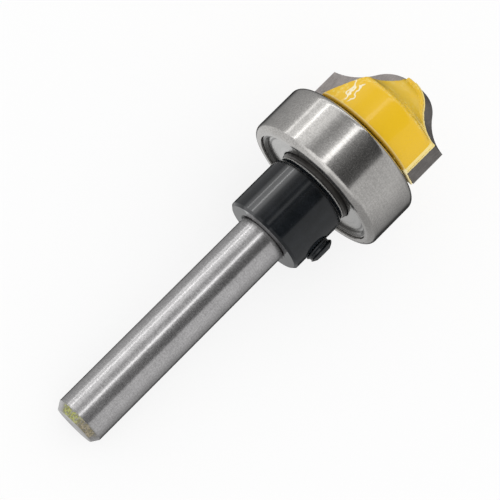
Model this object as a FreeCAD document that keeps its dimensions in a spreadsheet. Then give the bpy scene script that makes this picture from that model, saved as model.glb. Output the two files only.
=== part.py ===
"""Ogee router bit with a guide bearing on its shank, lying on a bench as it would come to rest.

Every piece is first built in the bit's own frame: the origin is the centre of the shank's end
face, +Z runs along the bit towards the cutting head, and +X turns down to the bench when the bit
is laid. One placement then lays the whole bit on the edge of its shank and the rim of its bearing.
All sizes are millimetres and degrees.
"""
import FreeCAD, Part
import math
import os

import Sketcher

Vector = FreeCAD.Vector
Rotation = FreeCAD.Rotation
Placement = FreeCAD.Placement

doc = FreeCAD.newDocument("router_bit")

# Driving dimensions, one named cell each.
SIZES = [
    ("overall_length", 56.54, "shank end to the tip of the carbide"),
    ("shank_diameter", 6.35, "quarter inch collet"),
    ("head_length", 10.44, "hub face that stops the bearing to the tip"),
    ("end_chamfer_width", 0.58, "chamfer at the shank's end, across"),
    ("end_chamfer_depth", 0.89, "chamfer at the shank's end, along"),
    ("hub_diameter", 9.6, "low hub between bearing and head"),
    ("hub_height", 0.45, "gap that the hub keeps under the head"),
    ("body_diameter", 16.2, "painted body of the head"),
    ("body_base_chamfer", 0.3, "lower rim of the head"),
    ("body_edge_round", 1.2, "rim between the head's side and its ogee"),
    ("cutter_diameter", 17.5, "circle that the carbide edges cut"),
    ("nose_radius", 4.37, "convex arc of the ogee"),
    ("nose_centre", 0.91, "nose arc centre, out from the axis"),
    ("blend_angle", 55.4, "slope where the nose arc meets the cove arc"),
    ("cove_radius", 6.97, "concave arc of the ogee"),
    ("carbide_proud", 0.6, "carbide profile over the body's profile"),
    ("carbide_thickness", 1.9, "plate thickness behind the rake face"),
    ("carbide_tip_inset", 1.45, "plate's inner edge from the axis, at the tip"),
    ("carbide_base_inset", 6.2, "plate's inner edge from the axis, at its foot"),
    ("seat_ledge", 0.3, "body left under the plate"),
    ("rib_width", 0.5, "wall left behind the plate, ground flush with it"),
    ("wing_core", 0.25, "flush core of each wing past the axis"),
    ("side_relief", 20.0, "clearance angle of the side"),
    ("end_relief", 11.3, "clearance angle of the nose"),
    ("wing_angle", 64.5, "turn of the first wing about the axis"),
    ("gullet_turn", 10.3, "gullet floor turned past square to the rake face"),
    ("gullet_slope", 31.5, "gullet floor leaning in towards the tip"),
    ("gullet_floor", 5.69, "gullet floor from the axis, at the head's base"),
    ("tip_web", 1.5, "web left between the gullets at the tip"),
    ("collar_diameter", 10.5, "lock collar"),
    ("collar_length", 7.7, "lock collar"),
    ("collar_chamfer", 0.3, "outer edges of the lock collar"),
    ("collar_bore_chamfer", 0.25, "bore edges of the lock collar"),
    ("collar_clearance", 0.05, "collar and washer bores over the shank"),
    ("washer_diameter", 9.7, "spacing washer between collar and bearing"),
    ("washer_thickness", 0.55, "spacing washer"),
    ("screw_diameter", 3.505, "set screw thread"),
    ("screw_length", 3.175, "set screw"),
    ("screw_clearance", 0.03, "plain hole over the set screw"),
    ("screw_station", 3.68, "set screw from the collar's shank side"),
    ("screw_angle", 271.0, "turn of the set screw about the axis"),
    ("screw_chamfer", 0.25, "point end of the set screw"),
    ("crown_radius", 2.7, "domed socket end of the set screw"),
    ("crown_face", 1.0, "flat face round the socket, from the screw's axis"),
    ("cup_diameter", 2.0, "cup point of the set screw"),
    ("cup_depth", 0.4, "cup point of the set screw"),
    ("socket_across", 1.588, "hex socket across its flats"),
    ("socket_depth", 1.3, "hex socket"),
    ("bearing_diameter", 19.05, "guide bearing"),
    ("bearing_width", 7.142, "guide bearing"),
    ("bearing_corner", 0.8, "rounded rim of the outer ring"),
    ("bearing_fit", 0.005, "inner ring's bore over the shank"),
    ("ring_chamfer", 0.25, "edges of the inner ring"),
    ("ball_diameter", 3.572, "balls"),
    ("ball_count", 7, "balls"),
    ("race_radius", 1.857, "section radius of both raceways"),
    ("race_clearance", 0.01, "ball to raceway"),
    ("inner_land_gap", 1.35, "inner ring's land inside the circle of the balls"),
    ("outer_land_gap", 1.31, "outer ring's land outside the circle of the balls"),
    ("seat_wall", 1.225, "outer ring's wall round the shield seat"),
    ("seat_depth", 0.95, "shield seat in the outer ring"),
    ("groove_depth", 0.25, "groove that holds the shield's rim, into the wall"),
    ("groove_width", 0.3, "groove that holds the shield's rim"),
    ("groove_inset", 0.4, "groove below the ring's face"),
    ("shield_thickness", 0.3, "sheet of the shields"),
    ("shield_bead", 0.6, "crimped rim of a shield, across"),
    ("shield_gap", 0.15, "shield's bore over the inner ring"),
    ("shield_sink", 0.25, "crimped rim of a shield below the ring's face"),
    ("cage_thickness", 0.3, "sheet of the cage"),
    ("cage_width", 1.2, "ribbon of the cage, across"),
    ("pocket_clearance", 0.05, "cage pocket over its ball"),
    ("rivet_diameter", 0.6, "cage rivets"),
    ("rivet_head_diameter", 1.0, "cage rivets"),
    ("rivet_head_height", 0.2, "cage rivets"),
]

sheet = doc.addObject("Spreadsheet::Sheet", "sizes")
for row, (alias, number, note) in enumerate(SIZES, start=1):
    sheet.set("A%d" % row, alias)
    sheet.set("B%d" % row, str(number))
    sheet.set("C%d" % row, note)
    sheet.setAlias("B%d" % row, alias)
doc.recompute()


def size(text):
    """The number that an expression of sheet names gives."""
    return float(sheet.evalExpression(linked(text)))


def linked(text):
    """An expression with the sheet's name put before each of its aliases."""
    words = []
    word = ""
    for letter in text + " ":
        if letter.isalnum() or letter == "_":
            word += letter
            continue
        words.append("sizes." + word if word in ALIASES else word)
        words.append(letter)
        word = ""
    return "".join(words).strip()


ALIASES = {alias for alias, number, note in SIZES}

# Stations along the axis, from the shank's end.
HUB = "(overall_length - head_length)"
HEAD_BASE = "(overall_length - head_length + hub_height)"
SEAT_BASE = "(overall_length - head_length + hub_height + seat_ledge)"
BEARING_END = HUB
BEARING_START = "(" + HUB + " - bearing_width)"
BEARING_MIDDLE = "(" + HUB + " - bearing_width / 2)"
WASHER_START = "(" + BEARING_START + " - washer_thickness)"
COLLAR_START = "(" + WASHER_START + " - collar_length)"

# Circles of the guide bearing: the balls run midway between its bore and its rim.
PITCH = "((bearing_diameter + shank_diameter) / 4)"
INNER_LAND = "(" + PITCH + " - inner_land_gap)"
OUTER_LAND = "(" + PITCH + " + outer_land_gap)"
SHIELD_SEAT = "(bearing_diameter / 2 - seat_wall)"
SHIELD_GROOVE = "(bearing_diameter / 2 - seat_wall + groove_depth)"

# The ogee: a convex nose arc and a concave cove arc that meet on one slope.
NOSE_HEIGHT = "(overall_length - nose_radius)"
COVE_CENTRE = "(nose_centre + (nose_radius + cove_radius) * sin(blend_angle))"
COVE_HEIGHT = "(overall_length - nose_radius + (nose_radius + cove_radius) * cos(blend_angle))"


def cove_station(radius, offset):
    """Height at which the cove arc, set in by an offset, crosses a radius."""
    reach = "((cove_radius + %s)^2 - (%s - %s)^2)" % (offset, COVE_CENTRE, radius)
    return "(%s - sqrt(%s))" % (COVE_HEIGHT, reach)


def blend_point(offset):
    """Where the nose arc, set in by an offset, meets the cove arc."""
    across = "(nose_centre + (nose_radius - %s) * sin(blend_angle))" % offset
    along = "(%s + (nose_radius - %s) * cos(blend_angle))" % (NOSE_HEIGHT, offset)
    return across, along


def outline(sketch, corners):
    """Closed outline through corners (x, y, arc), every corner and arc tied to the sheet.

    arc is None for a straight side to the next corner, else (centre x, centre y, radius, turn)
    where turn is 1 for an anticlockwise arc and -1 for a clockwise one.
    """
    count = len(corners)
    points = [Vector(size(x), size(y), 0) for x, y, arc in corners]
    ends = []
    for index, (x, y, arc) in enumerate(corners):
        here = points[index]
        there = points[(index + 1) % count]
        if arc is None:
            sketch.addGeometry(Part.LineSegment(here, there), False)
            ends.append((1, 2))
            continue
        centre = Vector(size(arc[0]), size(arc[1]), 0)
        circle = Part.Circle(centre, Vector(0, 0, 1), size(arc[2]))
        first, last = (here, there) if arc[3] > 0 else (there, here)
        first_angle = math.atan2(first.y - centre.y, first.x - centre.x)
        last_angle = math.atan2(last.y - centre.y, last.x - centre.x)
        if last_angle < first_angle:
            last_angle += 2 * math.pi
        sketch.addGeometry(Part.ArcOfCircle(circle, first_angle, last_angle), False)
        ends.append((1, 2) if arc[3] > 0 else (2, 1))
    for index in range(count):
        before = (index - 1) % count
        sketch.addConstraint(Sketcher.Constraint(
            "Coincident", before, ends[before][1], index, ends[index][0]))
    for index, (x, y, arc) in enumerate(corners):
        where = points[index]
        across = sketch.addConstraint(Sketcher.Constraint(
            "DistanceX", -1, 1, index, ends[index][0], where.x))
        sketch.setExpression("Constraints[%d]" % across, linked(x))
        along = sketch.addConstraint(Sketcher.Constraint(
            "DistanceY", -1, 1, index, ends[index][0], where.y))
        sketch.setExpression("Constraints[%d]" % along, linked(y))
        if arc is not None:
            radius = sketch.addConstraint(Sketcher.Constraint("Radius", index, size(arc[2])))
            sketch.setExpression("Constraints[%d]" % radius, linked(arc[2]))


def turned(name, corners):
    """Body revolved about the bit's axis from an outline of (radius, height) corners."""
    body = doc.addObject("PartDesign::Body", name)
    sketch = body.newObject("Sketcher::SketchObject", name + "_profile")
    plane = [item for item in body.Origin.OriginFeatures if item.Role == "XZ_Plane"][0]
    sketch.AttachmentSupport = [(plane, "")]
    sketch.MapMode = "FlatFace"
    outline(sketch, corners)
    doc.recompute()
    revolution = body.newObject("PartDesign::Revolution", name + "_turned")
    revolution.Profile = sketch
    revolution.ReferenceAxis = (sketch, ["V_Axis"])
    revolution.Angle = 360
    body.Tip = revolution
    doc.recompute()
    return body


def ring(corners):
    """Straight-sided outline: (radius, height) corners with no arcs."""
    return [(x, y, None) for x, y in corners]


def bound(kind, name, **sizes):
    """Primitive whose sizes are tied to the sheet."""
    item = doc.addObject(kind, name)
    for prop, text in sizes.items():
        item.setExpression(prop, linked(text))
    return item


def block(name, reach, where):
    """Large box that fills the half space on the +X side of a placement."""
    item = doc.addObject("Part::Box", name)
    for prop in ("Length", "Width", "Height"):
        item.setExpression(prop, linked(reach))
    half = size(reach) / 2
    item.Placement = where.multiply(Placement(Vector(0, -half, -half), Rotation()))
    return item


def joined(name, items):
    """Fusion of several shapes."""
    fusion = doc.addObject("Part::MultiFuse", name)
    fusion.Shapes = items
    return fusion


def common(name, items):
    """What several shapes share."""
    shared = doc.addObject("Part::MultiCommon", name)
    shared.Shapes = items
    return shared


def cut(name, base, tool):
    """Base less tool."""
    result = doc.addObject("Part::Cut", name)
    result.Base = base
    result.Tool = tool
    return result


def about_axis(angle, radius="0", station="0"):
    """Placement turned about the bit's axis, out by a radius and up to a station."""
    turn = Rotation(Vector(0, 0, 1), angle)
    out = turn.multVec(Vector(size(radius), 0, size(station)))
    return Placement(out, turn)


def resting_place():
    """Placement that lays the bit on its shank's end edge and its bearing's rim.

    The lowest points are the shank's edge above its end chamfer and a point on the rounded rim
    of the bearing, and the origin goes under the middle of the bit's length.
    """
    run = size(BEARING_START + " + bearing_corner - end_chamfer_depth")
    rise = size("bearing_diameter / 2 - bearing_corner - shank_diameter / 2")
    rim = size("bearing_corner")
    lean = math.atan2(rise, run) + math.asin(rim / math.hypot(run, rise))
    end_height = size("shank_diameter / 2") * math.cos(lean)
    end_height -= size("end_chamfer_depth") * math.sin(lean)
    rear = -size("shank_diameter / 2 - end_chamfer_width") * math.sin(lean)
    low_wing = math.cos(math.radians(size("wing_angle"))) * math.sin(lean)
    front = size(NOSE_HEIGHT) * math.cos(lean) + size("nose_centre") * low_wing
    front += size("nose_radius") * math.hypot(math.cos(lean), low_wing)
    tip_over = Rotation(Vector(0, 1, 0), 90 - math.degrees(lean))
    return Placement(Vector(-(front + rear) / 2, 0, end_height), tip_over)


laid = resting_place()
pieces = []


def keep(item, label, where=None):
    """Name a finished piece, lay it with the bit and list it for export."""
    item.Label = label
    item.Placement = laid if where is None else laid.multiply(where)
    pieces.append(item)


# Cutter body: shank, hub and head turned as one piece, with two gullets and two carbide seats.

def body_blank():
    """Turned blank of the cutter body, its head rim rounded."""
    proud = "carbide_proud"
    blend_x, blend_y = blend_point(proud)
    tip = "(%s + nose_radius - carbide_proud)" % NOSE_HEIGHT
    shoulder = cove_station("body_diameter / 2", proud)
    cove = (COVE_CENTRE, COVE_HEIGHT, "cove_radius + carbide_proud", -1)
    nose = ("nose_centre", NOSE_HEIGHT, "nose_radius - carbide_proud", 1)
    blank = turned("cutter_blank", [
        ("0", "0", None),
        ("shank_diameter / 2 - end_chamfer_width", "0", None),
        ("shank_diameter / 2", "end_chamfer_depth", None),
        ("shank_diameter / 2", HUB, None),
        ("hub_diameter / 2", HUB, None),
        ("hub_diameter / 2", HEAD_BASE, None),
        ("body_diameter / 2 - body_base_chamfer", HEAD_BASE, None),
        ("body_diameter / 2", HEAD_BASE + " + body_base_chamfer", None),
        ("body_diameter / 2", shoulder, cove),
        (blend_x, blend_y, nose),
        ("nose_centre", tip, None),
        ("0", tip, None),
    ])
    sharp = blank.Tip
    rim = rim_edge(sharp.Shape, size("body_diameter / 2"), size(shoulder))
    rounding = blank.newObject("PartDesign::Fillet", "cutter_rim_round")
    rounding.Base = (sharp, [rim])
    rounding.setExpression("Radius", linked("body_edge_round"))
    blank.Tip = rounding
    doc.recompute()
    return blank


def rim_edge(shape, radius, station):
    """Name of the circular edge with this radius at this station."""
    for number, edge in enumerate(shape.Edges, start=1):
        curve = edge.Curve
        if not isinstance(curve, Part.Circle):
            continue
        if abs(curve.Radius - radius) < 1e-4 and abs(curve.Center.z - station) < 1e-4:
            return "Edge%d" % number
    raise RuntimeError("no rim at radius %.3f" % radius)


def gullet(name, angle):
    """Wedge ahead of a wing's rake face: clear to the rim, down to a floor that leans in."""
    reach = "overall_length"
    rake = block(name + "_rake", reach, about_axis(angle + 90, "0", HEAD_BASE))
    floor_turn = angle + size("gullet_turn")
    web = block(name + "_web", reach, about_axis(floor_turn, "tip_web / 2", HEAD_BASE))
    lean = Placement(Vector(), Rotation(Vector(0, 1, 0), -size("gullet_slope")))
    start = about_axis(floor_turn, "gullet_floor", HEAD_BASE)
    floor = block(name + "_floor", reach, start.multiply(lean))
    return common(name, [rake, web, floor])


def flat_sketch(name, angle, corners):
    """Sketch on a wing's rake plane: x is out from the axis, y is along it."""
    sketch = doc.addObject("Sketcher::SketchObject", name)
    upright = Placement(Vector(), Rotation(Vector(1, 0, 0), 90))
    sketch.Placement = about_axis(angle).multiply(upright)
    outline(sketch, corners)
    return sketch


def seat(name, angle):
    """Slot for a carbide plate, open at the rake face and past the profile."""
    outside = "cutter_diameter"
    above = "overall_length + carbide_proud"
    sketch = flat_sketch(name + "_shape", angle, [
        ("carbide_base_inset", SEAT_BASE, None),
        (outside, SEAT_BASE, None),
        (outside, above, None),
        ("carbide_tip_inset", above, None),
        ("carbide_tip_inset", "overall_length", None),
    ])
    slot = doc.addObject("Part::Extrusion", name)
    slot.Base = sketch
    slot.DirMode = "Normal"
    slot.Solid = True
    slot.setExpression("LengthFwd", linked("carbide_thickness"))
    return slot


def ground_form(name, angle, depth):
    """Ogee profile drawn back from the rake plane and inwards, so that it clears the cut."""
    blend_x, blend_y = blend_point("0")
    shoulder = cove_station("cutter_diameter / 2", "0")
    cove = (COVE_CENTRE, COVE_HEIGHT, "cove_radius", -1)
    nose = ("nose_centre", NOSE_HEIGHT, "nose_radius", 1)
    sketch = flat_sketch(name + "_shape", angle, [
        ("-nose_centre", HUB, None),
        ("cutter_diameter / 2", HUB, None),
        ("cutter_diameter / 2", shoulder, cove),
        (blend_x, blend_y, nose),
        ("nose_centre", "overall_length", None),
        ("-nose_centre", "overall_length", None),
    ])
    side = math.tan(math.radians(size("side_relief")))
    end = math.tan(math.radians(size("end_relief")))
    back = Vector(-side, -1, -end)
    form = doc.addObject("Part::Extrusion", name)
    form.Base = sketch
    form.DirMode = "Custom"
    form.Dir = about_axis(angle).Rotation.multVec(back)
    form.Solid = True
    form.LengthFwd = back.Length * size(depth)
    return form


def wing(name, angle):
    """What carries a plate: core, ledge and back wall, ground together with the plate."""
    form = ground_form(name + "_form", angle, "carbide_thickness + rib_width")
    half = block(name + "_half", "overall_length", about_axis(angle, "-wing_core", HEAD_BASE))
    upward = Placement(Vector(0, 0, size(HEAD_BASE)), Rotation(Vector(0, 1, 0), -90))
    above = block(name + "_above", "overall_length", upward)
    return common(name, [form, half, above])


wing_angles = [size("wing_angle"), size("wing_angle") + 180]
cuts = []
wings = []
for number, angle in enumerate(wing_angles, start=1):
    wings.append(wing("wing_%d" % number, angle))
    cuts.append(gullet("gullet_%d" % number, angle))
    slot = seat("carbide_seat_%d" % number, angle)
    cuts.append(slot)
    form = ground_form("carbide_form_%d" % number, angle, "carbide_thickness")
    keep(common("carbide_%d" % number, [form, slot]), "carbide_tip_%d" % number)
blank = body_blank()
for number, item in enumerate(wings, start=1):
    blank = joined("cutter_with_wing_%d" % number, [blank, item])
keep(cut("cutter", blank, joined("cutter_cuts", cuts)), "cutter_body")


# Lock collar with its radial set screw, and the spacing washer.

collar_bore = "(shank_diameter / 2 + collar_clearance)"
collar_end = "(" + COLLAR_START + " + collar_length)"
collar_blank = turned("collar_blank", ring([
    (collar_bore + " + collar_bore_chamfer", COLLAR_START),
    ("collar_diameter / 2 - collar_chamfer", COLLAR_START),
    ("collar_diameter / 2", COLLAR_START + " + collar_chamfer"),
    ("collar_diameter / 2", collar_end + " - collar_chamfer"),
    ("collar_diameter / 2 - collar_chamfer", collar_end),
    (collar_bore + " + collar_bore_chamfer", collar_end),
    (collar_bore, collar_end + " - collar_bore_chamfer"),
    (collar_bore, COLLAR_START + " + collar_bore_chamfer"),
]))
outwards = Placement(Vector(), Rotation(Vector(0, 1, 0), 90))
screw_station = COLLAR_START + " + screw_station"
screw_hole = bound("Part::Cylinder", "screw_hole",
                   Radius="screw_diameter / 2 + screw_clearance", Height="collar_diameter")
screw_hole.Placement = about_axis(size("screw_angle"), "0", screw_station).multiply(outwards)
keep(cut("collar", collar_blank, screw_hole), "lock_collar")

crown_centre = "(screw_length - sqrt(crown_radius * crown_radius - crown_face * crown_face))"
crown_reach = "crown_radius * crown_radius - screw_diameter * screw_diameter / 4"
crown_foot = "(" + crown_centre + " + sqrt(" + crown_reach + "))"
screw_blank = turned("screw_blank", [
    ("0", "cup_depth", None),
    ("cup_diameter / 2", "0", None),
    ("screw_diameter / 2 - screw_chamfer", "0", None),
    ("screw_diameter / 2", "screw_chamfer", None),
    ("screw_diameter / 2", crown_foot, ("0", crown_centre, "crown_radius", 1)),
    ("crown_face", "screw_length", None),
    ("0", "screw_length", None),
])
socket = bound("Part::Prism", "hex_socket",
               Circumradius="socket_across / sqrt(3)", Height="socket_depth")
socket.Polygon = 6
socket.setExpression("Placement.Base.z", linked("screw_length - socket_depth"))
screw_place = about_axis(size("screw_angle"), "shank_diameter / 2", screw_station)
keep(cut("screw", screw_blank, socket), "set_screw", screw_place.multiply(outwards))

washer_end = "(" + WASHER_START + " + washer_thickness)"
keep(turned("spacer", ring([
    (collar_bore, WASHER_START),
    ("washer_diameter / 2", WASHER_START),
    ("washer_diameter / 2", washer_end),
    (collar_bore, washer_end),
])), "washer")


# Guide bearing: two rings with ball grooves, balls, riveted ribbon cage and two crimped shields.

def groove_half(land, centre):
    """Half width of a raceway where its round section meets the land."""
    return "sqrt(race_radius^2 - (%s - %s)^2)" % (land, centre)


inner_centre = "(" + PITCH + " - ball_diameter / 2 - race_clearance + race_radius)"
inner_bore = "(shank_diameter / 2 + bearing_fit)"
inner_half = groove_half(INNER_LAND, inner_centre)
keep(turned("inner_ring", [
    (inner_bore, BEARING_START + " + ring_chamfer", None),
    (inner_bore + " + ring_chamfer", BEARING_START, None),
    (INNER_LAND + " - ring_chamfer", BEARING_START, None),
    (INNER_LAND, BEARING_START + " + ring_chamfer", None),
    (INNER_LAND, BEARING_MIDDLE + " - " + inner_half,
     (inner_centre, BEARING_MIDDLE, "race_radius", -1)),
    (INNER_LAND, BEARING_MIDDLE + " + " + inner_half, None),
    (INNER_LAND, BEARING_END + " - ring_chamfer", None),
    (INNER_LAND + " - ring_chamfer", BEARING_END, None),
    (inner_bore + " + ring_chamfer", BEARING_END, None),
    (inner_bore, BEARING_END + " - ring_chamfer", None),
]), "bearing_inner_ring")

outer_centre = "(" + PITCH + " + ball_diameter / 2 + race_clearance - race_radius)"
outer_half = groove_half(OUTER_LAND, outer_centre)
rim_inside = "bearing_diameter / 2 - bearing_corner"
low_rim = BEARING_START + " + bearing_corner"
high_rim = BEARING_END + " - bearing_corner"
groove_near = "groove_inset"
groove_far = "groove_inset + groove_width"
keep(turned("outer_ring", [
    (rim_inside, BEARING_START, (rim_inside, low_rim, "bearing_corner", 1)),
    ("bearing_diameter / 2", low_rim, None),
    ("bearing_diameter / 2", high_rim, (rim_inside, high_rim, "bearing_corner", 1)),
    (rim_inside, BEARING_END, None),
    (SHIELD_SEAT, BEARING_END, None),
    (SHIELD_SEAT, BEARING_END + " - " + groove_near, None),
    (SHIELD_GROOVE, BEARING_END + " - " + groove_near, None),
    (SHIELD_GROOVE, BEARING_END + " - (" + groove_far + ")", None),
    (SHIELD_SEAT, BEARING_END + " - (" + groove_far + ")", None),
    (SHIELD_SEAT, BEARING_END + " - seat_depth", None),
    (OUTER_LAND, BEARING_END + " - seat_depth", None),
    (OUTER_LAND, BEARING_MIDDLE + " + " + outer_half,
     (outer_centre, BEARING_MIDDLE, "race_radius", -1)),
    (OUTER_LAND, BEARING_MIDDLE + " - " + outer_half, None),
    (OUTER_LAND, BEARING_START + " + seat_depth", None),
    (SHIELD_SEAT, BEARING_START + " + seat_depth", None),
    (SHIELD_SEAT, BEARING_START + " + " + groove_far, None),
    (SHIELD_GROOVE, BEARING_START + " + " + groove_far, None),
    (SHIELD_GROOVE, BEARING_START + " + " + groove_near, None),
    (SHIELD_SEAT, BEARING_START + " + " + groove_near, None),
    (SHIELD_SEAT, BEARING_START, None),
]), "bearing_outer_ring")


def shield(name, label, face, inward):
    """Pressed shield: a flat sheet with a bead at its rim, crimped into the outer ring's groove.

    face is the ring's face and inward the sign that leads from it into the bearing.
    """
    def below(depth):
        return "%s %s (%s)" % (face, inward, depth)

    keep(turned(name, ring([
        (INNER_LAND + " + shield_gap", below("seat_depth")),
        (SHIELD_SEAT, below("seat_depth")),
        (SHIELD_SEAT, below(groove_far)),
        (SHIELD_GROOVE, below(groove_far)),
        (SHIELD_GROOVE, below(groove_near)),
        (SHIELD_SEAT, below(groove_near)),
        (SHIELD_SEAT + " - shield_thickness / 3", below("shield_sink")),
        (SHIELD_SEAT + " - shield_bead + shield_thickness / 2", below("shield_sink")),
        (SHIELD_SEAT + " - shield_bead", below("shield_sink + shield_thickness / 2")),
        (SHIELD_SEAT + " - shield_bead", below("seat_depth - shield_thickness")),
        (INNER_LAND + " + shield_gap", below("seat_depth - shield_thickness")),
    ])), label)


shield("near_shield", "shield_shank_side", BEARING_START, "+")
shield("far_shield", "shield_head_side", BEARING_END, "-")

ball_count = int(size("ball_count"))
pitch = 360.0 / ball_count
ball_places = [about_axis(pitch * index, PITCH, BEARING_MIDDLE)
               for index in range(ball_count)]
rivet_places = [about_axis(pitch * (index + 0.5), PITCH, BEARING_MIDDLE)
                for index in range(ball_count)]
for index, place in enumerate(ball_places, start=1):
    ball = bound("Part::Sphere", "ball_shape_%d" % index, Radius="ball_diameter / 2")
    keep(ball, "ball_%d" % index, place)


def upright(kind, name, station, **sizes):
    """Primitive on the bit's axis, starting at a station."""
    item = bound(kind, name, **sizes)
    item.setExpression("Placement.Base.z", linked(station))
    return item


pocket_radius = "(ball_diameter / 2 + pocket_clearance)"
dome_radius = "(ball_diameter / 2 + pocket_clearance + cage_thickness)"
web_radius = "(" + PITCH + " + cage_width / 2)"


def placed(kind, name, where, offset="0", **sizes):
    """Primitive at a place, moved along the axis by an offset."""
    item = bound(kind, name, **sizes)
    item.Placement = where.multiply(Placement(Vector(0, 0, size(offset)), Rotation()))
    return item


def cage_half(name, label, side):
    """Half of the ribbon cage: flat webs between arched pockets, on one side of the balls."""
    web_start = BEARING_MIDDLE if side > 0 else BEARING_MIDDLE + " - cage_thickness"
    band_start = BEARING_MIDDLE if side > 0 else BEARING_MIDDLE + " - " + dome_radius
    sheets = [upright("Part::Cylinder", name + "_web", web_start,
                      Radius=web_radius, Height="cage_thickness")]
    hollows = [upright("Part::Cylinder", name + "_inside", BEARING_MIDDLE + " - " + dome_radius,
                       Radius=PITCH + " - cage_width / 2", Height="2 * " + dome_radius)]
    for index, place in enumerate(ball_places, start=1):
        across = place.multiply(outwards)
        sheets.append(placed("Part::Cylinder", "%s_dome_%d" % (name, index), across,
                             "-cage_width", Radius=dome_radius, Height="2 * cage_width"))
        hollows.append(placed("Part::Cylinder", "%s_pocket_%d" % (name, index), across,
                              "-cage_width", Radius=pocket_radius, Height="2 * cage_width"))
    for index, place in enumerate(rivet_places, start=1):
        hollows.append(placed("Part::Cylinder", "%s_hole_%d" % (name, index), place,
                              "-cage_thickness * 2", Radius="rivet_diameter / 2",
                              Height="cage_thickness * 4"))
    band = upright("Part::Cylinder", name + "_band", band_start,
                   Radius=web_radius, Height=dome_radius)
    ribbon = common(name + "_ribbon", [band, joined(name + "_sheets", sheets)])
    keep(cut(name, ribbon, joined(name + "_hollows", hollows)), label)


cage_half("cage_near", "cage_half_shank_side", -1)
cage_half("cage_far", "cage_half_head_side", 1)

head_reach = "(cage_thickness + rivet_head_height)"
rivet_corners = [
    ("0", "-" + head_reach),
    ("rivet_head_diameter / 2", "-" + head_reach),
    ("rivet_head_diameter / 2", "-cage_thickness"),
    ("rivet_diameter / 2", "-cage_thickness"),
    ("rivet_diameter / 2", "cage_thickness"),
    ("rivet_head_diameter / 2", "cage_thickness"),
    ("rivet_head_diameter / 2", head_reach),
    ("0", head_reach),
]
for index, place in enumerate(rivet_places, start=1):
    keep(turned("rivet_shape_%d" % index, ring(rivet_corners)), "cage_rivet_%d" % index, place)

doc.recompute()

# Checks before anything is written.
for item in doc.Objects:
    if "Invalid" in item.State or "Error" in item.State:
        raise RuntimeError("%s did not rebuild" % item.Label)
for item in pieces:
    shape = item.Shape
    if shape.isNull() or not shape.isValid() or len(shape.Solids) != 1:
        raise RuntimeError("%s is not one valid solid" % item.Label)

os.makedirs("parts", exist_ok=True)
for item in pieces:
    item.Shape.exportStep("parts/%s.step" % item.Label)
    print("%-22s %9.3f mm3" % (item.Label, item.Shape.Volume))
box = FreeCAD.BoundBox()
for item in pieces:
    box.add(item.Shape.optimalBoundingBox())
print("box", [round(v, 3) for v in (box.XMin, box.XMax, box.YMin, box.YMax, box.ZMin, box.ZMax)])
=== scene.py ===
import math

import bmesh
import bpy
from mathutils import Matrix, Vector


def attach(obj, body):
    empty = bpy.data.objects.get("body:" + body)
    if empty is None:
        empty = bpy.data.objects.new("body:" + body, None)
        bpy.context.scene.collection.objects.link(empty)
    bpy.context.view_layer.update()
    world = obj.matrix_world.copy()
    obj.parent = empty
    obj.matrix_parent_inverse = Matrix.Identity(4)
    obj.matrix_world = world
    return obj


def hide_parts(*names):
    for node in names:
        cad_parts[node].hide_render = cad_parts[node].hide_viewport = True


# %% [markdown]
# The object is a small router bit that lies on a bench. A router turns it by its bare steel shank, the
# yellow head carries two carbide edges that cut an ogee, and the ball bearing rolls along a template.
# The true form of every piece comes from the CAD files. This script adds what a drawing leaves out:
# the coat of paint, the screw's thread, the braze, the finishes, a floor, light and a camera.

# %% The CAD objects
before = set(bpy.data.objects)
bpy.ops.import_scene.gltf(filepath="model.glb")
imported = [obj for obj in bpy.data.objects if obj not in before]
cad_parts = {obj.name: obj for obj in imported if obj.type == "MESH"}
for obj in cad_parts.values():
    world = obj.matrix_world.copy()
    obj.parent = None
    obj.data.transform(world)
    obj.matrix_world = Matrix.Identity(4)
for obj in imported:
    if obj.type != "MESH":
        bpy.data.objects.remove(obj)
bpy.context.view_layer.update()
print("objects from the CAD files:", len(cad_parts))

# %% [markdown]
# Nearly everything on a router bit is turned on a lathe or ground between rollers, so its marks run
# round one axis. The axis starts at the middle of the shank's end face. It leans, because the bit
# rests on the thin end of its shank and on the wide rim of its bearing. Every later step uses it.

# %% The axis of the bit
LEAN = math.radians(9.2939)
AXIS = Vector((math.cos(LEAN), 0.0, math.sin(LEAN)))
DOWN = Vector((math.sin(LEAN), 0.0, -math.cos(LEAN)))
LEFT = Vector((0.0, 1.0, 0.0))
SHANK_END = Vector((-0.02772633, 0.0, 0.00298959))
MM = 0.001

BIT = Matrix.Translation(SHANK_END) @ Matrix((DOWN, LEFT, AXIS)).transposed().to_4x4()


def on_bit(x, y, station):
    """Point in the scene from millimetres across and along the bit."""
    return BIT @ Vector((x * MM, y * MM, station * MM))


print("tip of the bit at", [round(value, 4) for value in on_bit(0, 0, 56.54)])

# %% [markdown]
# The picture looks down on the bit from the shank's side, a little off square, with the head at the
# upper right. The camera is far away behind a long lens, so the bit is drawn with little perspective.

# %% Camera
UP = -DOWN
SIDE = AXIS.cross(UP)
VIEW_LEAN = 0.1980115
along = math.cos(VIEW_LEAN) * AXIS + math.sin(VIEW_LEAN) * UP
forward = math.sin(VIEW_LEAN) * AXIS - math.cos(VIEW_LEAN) * UP
eye = SHANK_END - (0.01133 * SIDE - 27.9154 * along + 249.9618 * forward) * 1.00263 * MM
right = 0.7077 * along + 0.7065 * SIDE
upward = 0.7065 * along - 0.7077 * SIDE

camera_data = bpy.data.cameras.new("camera")
camera_data.lens = 160.15
camera_data.sensor_width = 36.0
camera_data.clip_start = 0.01
camera_data.clip_end = 10.0
camera = bpy.data.objects.new("camera", camera_data)
bpy.context.collection.objects.link(camera)
camera.matrix_world = (Matrix.Translation(eye)
                       @ Matrix((right, upward, -forward)).transposed().to_4x4())
bpy.context.scene.camera = camera
print("camera at", [round(value, 3) for value in eye])

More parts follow.
